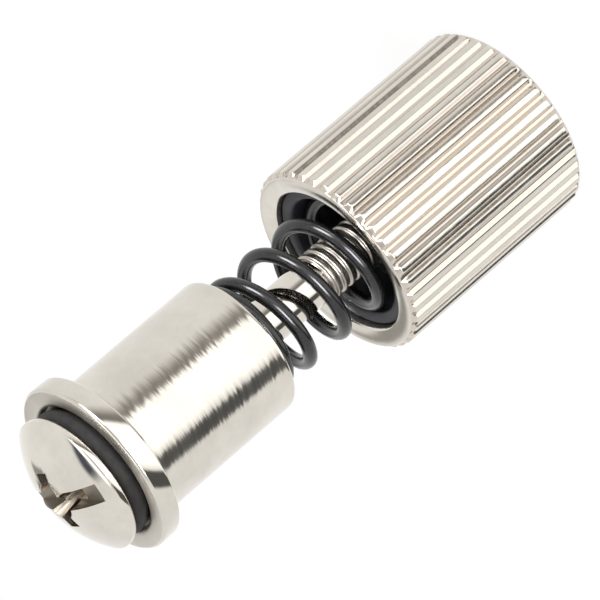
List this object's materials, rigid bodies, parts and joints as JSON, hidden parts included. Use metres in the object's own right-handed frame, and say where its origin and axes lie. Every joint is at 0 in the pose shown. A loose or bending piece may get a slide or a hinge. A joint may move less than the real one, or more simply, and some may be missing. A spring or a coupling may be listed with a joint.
{
  "type": "spring-loaded captive thumb screw",
  "caption": "Spring-loaded captive thumb screw: a domed cross-recess screw slides and turns in a flanged sleeve against a coil spring, held by a knurled cup knob.",
  "frame": {"origin": "centre of the flat closed end of the knob, which the part stands on", "axes": "+Z along the screw, from the knob towards the domed head; X and Y across it"},
  "size_m": [0.0152, 0.0152, 0.0449],
  "materials": {
    "knob_nickel": "bright nickel plate over a straight knurl",
    "liner_black": "glossy black moulded liner",
    "screw_nickel": "polished nickel plate",
    "sleeve_nickel": "nickel plate, finely turned barrel and polished flange",
    "seal_rubber": "black rubber",
    "spring_black": "black coated spring wire, semi-gloss"
  },
  "bodies": {
    "sleeve": {"flanged_sleeve": "sleeve_nickel", "return_spring": "spring_black"},
    "seal": {"seal_ring": "seal_rubber"},
    "plunger": {"captive_screw": "screw_nickel", "knurled_knob": "knob_nickel", "knob_liner": "liner_black"}
  },
  "joints": [
    {"name": "plunger_press", "type": "slide", "parent": "sleeve", "child": "seal", "axis": [0, 0, 1], "range_m": [0, 0.0098], "stiffness_N_per_m": 1500, "springref_m": -0.003, "deforming": ["return_spring"]},
    {"name": "plunger_turn", "type": "hinge", "parent": "seal", "child": "plunger", "pos_m": [0, 0, 0.0417], "axis": [0, 0, 1], "continuous": true}
  ]
}
